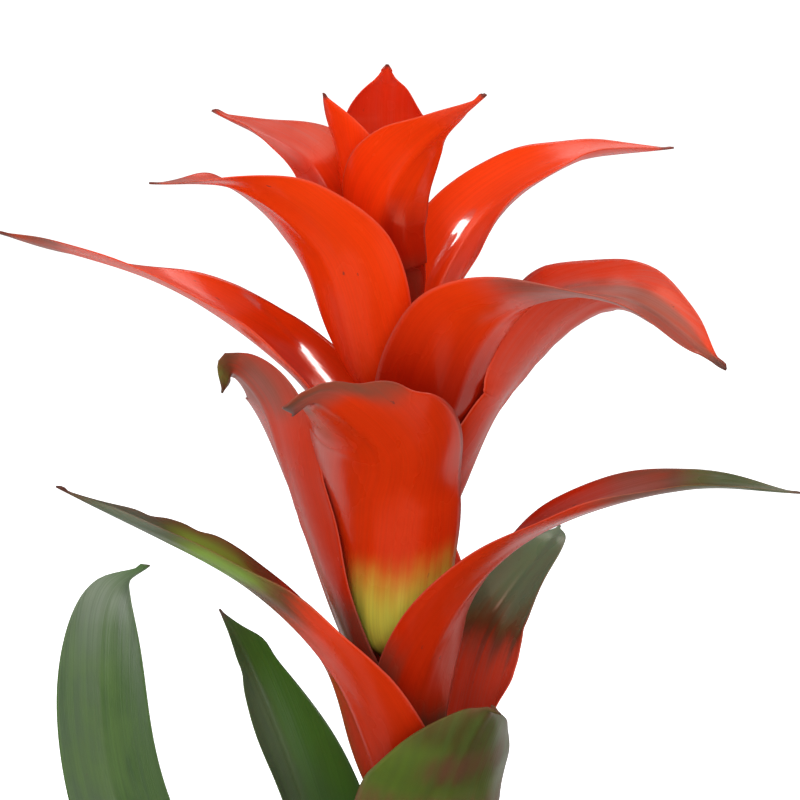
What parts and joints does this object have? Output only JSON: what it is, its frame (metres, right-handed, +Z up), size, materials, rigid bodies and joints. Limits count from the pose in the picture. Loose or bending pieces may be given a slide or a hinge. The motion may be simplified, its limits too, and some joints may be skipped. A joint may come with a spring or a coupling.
{
  "type": "flowering bromeliad plant",
  "caption": "Guzmania cut at the crown: a rosette of arching green strap leaves around an upright flower spike of spirally set glossy red bracts.",
  "frame": {"origin": "middle of the flat cut under the crown, on the surface the plant stands on", "axes": "+Z up along the rosette's axis, +X to the viewer's right and +Y away from the viewer in the picture"},
  "size_m": [0.4458, 0.4472, 0.4502],
  "materials": {
    "crown": "dull brown cut base of the plant",
    "leaf": "satin green leaf with a greyish sheen",
    "stem": "satin yellow-green stem",
    "buds": "satin pale yellow buds",
    "bract_red": "glossy orange-red bract with fine long veins",
    "bract_turning": "glossy red bract turning green and brown outwards",
    "bract_green": "satin green bract tinged red"
  },
  "bodies": {
    "root": {"crown": "crown", "leaf_01": "leaf", "leaf_02": "leaf", "leaf_03": "leaf", "leaf_04": "leaf", "leaf_05": "leaf", "leaf_06": "leaf", "leaf_07": "leaf", "leaf_08_left_tall": "leaf", "leaf_09": "leaf", "leaf_10": "leaf", "leaf_11": "leaf", "leaf_12": "leaf", "leaf_13": "leaf", "leaf_14": "leaf", "leaf_15": "leaf", "leaf_16_left_upright": "leaf", "flower_stem": "stem", "flower_buds": "buds", "bract_01_top": "bract_red", "bract_02_left": "bract_red", "bract_03_front": "bract_red", "bract_04_back_left": "bract_red", "bract_05_right": "bract_red", "bract_06_back": "bract_red", "bract_07_front_left": "bract_red", "bract_08_far_left": "bract_red", "bract_09_right_arch": "bract_red", "bract_10_back": "bract_red", "bract_11_right": "bract_red", "bract_12_front": "bract_red", "bract_13_back": "bract_red", "bract_14_left": "bract_turning", "bract_15_front_right": "bract_turning", "bract_16_back_right": "bract_turning", "bract_17_front_left": "bract_turning", "bract_18_front": "bract_green", "bract_19_back": "bract_green", "bract_20_right": "bract_green", "bract_21_front_left": "bract_green", "bract_22_back": "bract_green", "bract_23_front_right": "bract_green"}
  },
  "joints": []
}
